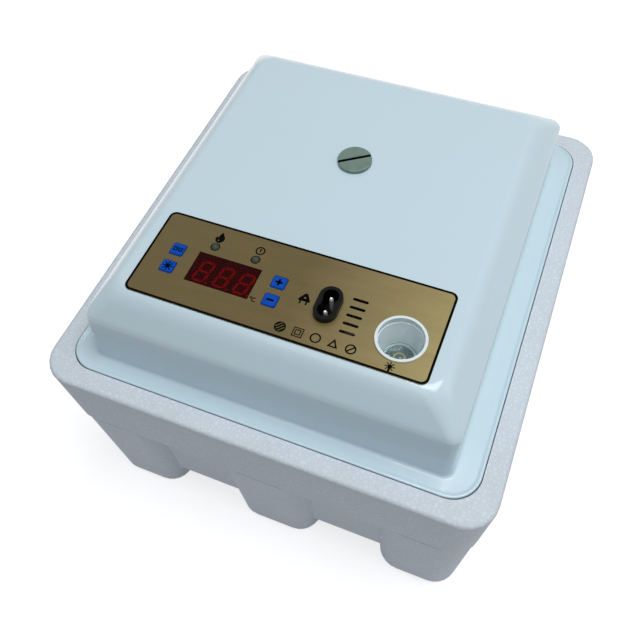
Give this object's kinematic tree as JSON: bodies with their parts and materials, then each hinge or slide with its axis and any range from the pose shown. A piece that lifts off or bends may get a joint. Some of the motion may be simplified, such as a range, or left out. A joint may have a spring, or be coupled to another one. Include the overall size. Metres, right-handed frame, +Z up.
{
  "type": "egg incubator",
  "caption": "Foam-bodied egg incubator on round moulded pods, with a lift-off lid that carries a fan, a heater, a control panel, a candling cup and a vent.",
  "frame": {"origin": "centre of the footprint, on the plane that the pods stand on", "axes": "+Z up; the control panel's side is towards -Y; +X to its right"},
  "size_m": [0.27, 0.295, 0.2133],
  "materials": {
    "foam": "matte",
    "cover": "gloss",
    "panel_white": "satin",
    "gold_panel": "satin",
    "red_window": "gloss",
    "black_plastic": "satin",
    "blue_button": "satin",
    "smoky_lamp": "gloss",
    "board_green": "satin",
    "steel": "satin",
    "nickel": "polished",
    "clear_lens": "gloss",
    "aluminium_star": "satin",
    "grey_plug": "satin",
    "tray_plastic": "satin",
    "rack_plastic": "satin",
    "heater_sheath": "satin",
    "ceramic_body": "matte",
    "core_steel": "satin",
    "part_blue": "satin",
    "lead_brown": "satin",
    "lead_red": "satin",
    "lead_black": "satin",
    "ribbon_grey": "satin"
  },
  "bodies": {
    "base": {"foam_base": "foam", "water_tray": "tray_plastic"},
    "rack": {"egg_rack": "rack_plastic", "rack_bars": "rack_plastic"},
    "lid": {"lid_cover": "cover", "inner_panel": "panel_white", "lid_insulation": "foam", "cover_screws": "steel", "control_faceplate": "gold_panel", "display_window": "red_window", "display_module": "black_plastic", "control_board": "board_green", "control_board_screws": "steel", "tact_switches": "black_plastic", "indicator_lamps": "smoky_lamp", "buzzer": "black_plastic", "power_inlet": "black_plastic", "inlet_pins": "nickel", "candling_cup": "panel_white", "candling_lens": "clear_lens", "candling_led": "aluminium_star", "vent_tube": "panel_white", "fan_frame": "black_plastic", "fan_guard": "black_plastic", "fan_screws": "steel", "heater_ring": "heater_sheath", "heater_clips": "steel", "thermal_fuse": "ceramic_body", "temperature_probe": "steel", "power_board": "board_green", "transformer": "core_steel", "power_parts": "part_blue", "power_board_screws": "steel", "ribbon_cable": "ribbon_grey", "mains_leads": "lead_brown", "heater_leads": "lead_red", "probe_lead": "lead_black", "candling_lead": "lead_black", "fan_lead": "lead_red"},
    "set_button": {"button_set": "blue_button"},
    "lamp_button": {"button_lamp": "blue_button"},
    "plus_button": {"button_plus": "blue_button"},
    "minus_button": {"button_minus": "blue_button"},
    "vent": {"vent_plug": "grey_plug"},
    "rotor": {"fan_rotor": "black_plastic"}
  },
  "joints": [
    {"name": "lid_lift", "type": "slide", "parent": "base", "child": "lid", "axis": [0, 0, 1], "range_m": [0, 0.16]},
    {"name": "rack_lift", "type": "slide", "parent": "base", "child": "rack", "axis": [0, 0, 1], "range_m": [0, 0.054]},
    {"name": "set_press", "type": "slide", "parent": "lid", "child": "set_button", "axis": [0, 0, -1], "range_m": [0, 0.0004], "stiffness_N_per_m": 600, "springref_m": -0.0005},
    {"name": "lamp_press", "type": "slide", "parent": "lid", "child": "lamp_button", "axis": [0, 0, -1], "range_m": [0, 0.0004], "stiffness_N_per_m": 600, "springref_m": -0.0005},
    {"name": "plus_press", "type": "slide", "parent": "lid", "child": "plus_button", "axis": [0, 0, -1], "range_m": [0, 0.0004], "stiffness_N_per_m": 600, "springref_m": -0.0005},
    {"name": "minus_press", "type": "slide", "parent": "lid", "child": "minus_button", "axis": [0, 0, -1], "range_m": [0, 0.0004], "stiffness_N_per_m": 600, "springref_m": -0.0005},
    {"name": "vent_turn", "type": "hinge", "parent": "lid", "child": "vent", "pos_m": [0, 0.0228, 0.2096], "axis": [0, 0, 1], "range_deg": [0, 90]},
    {"name": "fan_spin", "type": "hinge", "parent": "lid", "child": "rotor", "pos_m": [0, 0, 0.1388], "axis": [0, 0, 1], "continuous": true}
  ]
}
